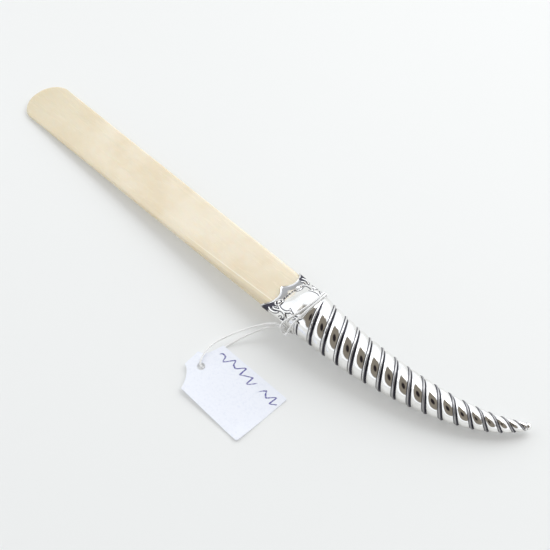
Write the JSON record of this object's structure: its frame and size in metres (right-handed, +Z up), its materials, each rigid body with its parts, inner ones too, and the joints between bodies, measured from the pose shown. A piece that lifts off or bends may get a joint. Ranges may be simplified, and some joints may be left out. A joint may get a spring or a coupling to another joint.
{
  "type": "bone folder",
  "caption": "Flat bone blade with a rounded tip, for folding and slitting paper, set in a scrolled silver collar with a spirally fluted curved horn handle and a strung card tag.",
  "frame": {"origin": "on the table, under the middle of the knife's footprint, measured without the string and its tag", "axes": "+X from the blade's tip to the handle, +Y to the side the horn curls towards, +Z up from the table"},
  "size_m": [0.2866, 0.0921, 0.0241],
  "materials": {
    "bone": "polished bone, cream, a little darker at the tip",
    "silver": "polished silver with blackened grooves",
    "pitch": "dull black resin filling",
    "cotton": "white twisted cotton",
    "card": "smooth bluish-white card"
  },
  "bodies": {
    "knife": {"blade": "bone", "collar_top_shell": "silver", "collar_bottom_shell": "silver", "handle_top_shell": "silver", "handle_bottom_shell": "silver", "tip_bead": "silver", "pitch_filling": "pitch"},
    "string": {"string_hitch": "cotton", "string": "cotton"},
    "tag": {"stock_tag": "card"}
  },
  "joints": [
    {"name": "string_swing", "type": "hinge", "parent": "knife", "child": "string", "pos_m": [0.04329, -0.01017, 0.01228], "axis": [-0.9986, -0.0168, -0.0495], "range_deg": [0, 170]},
    {"name": "tag_turn", "type": "hinge", "parent": "string", "child": "tag", "pos_m": [0.02539, -0.05651, 0.0014], "axis": [0.0335, 0.0009, 0.9994], "range_deg": [-80, 12]}
  ]
}
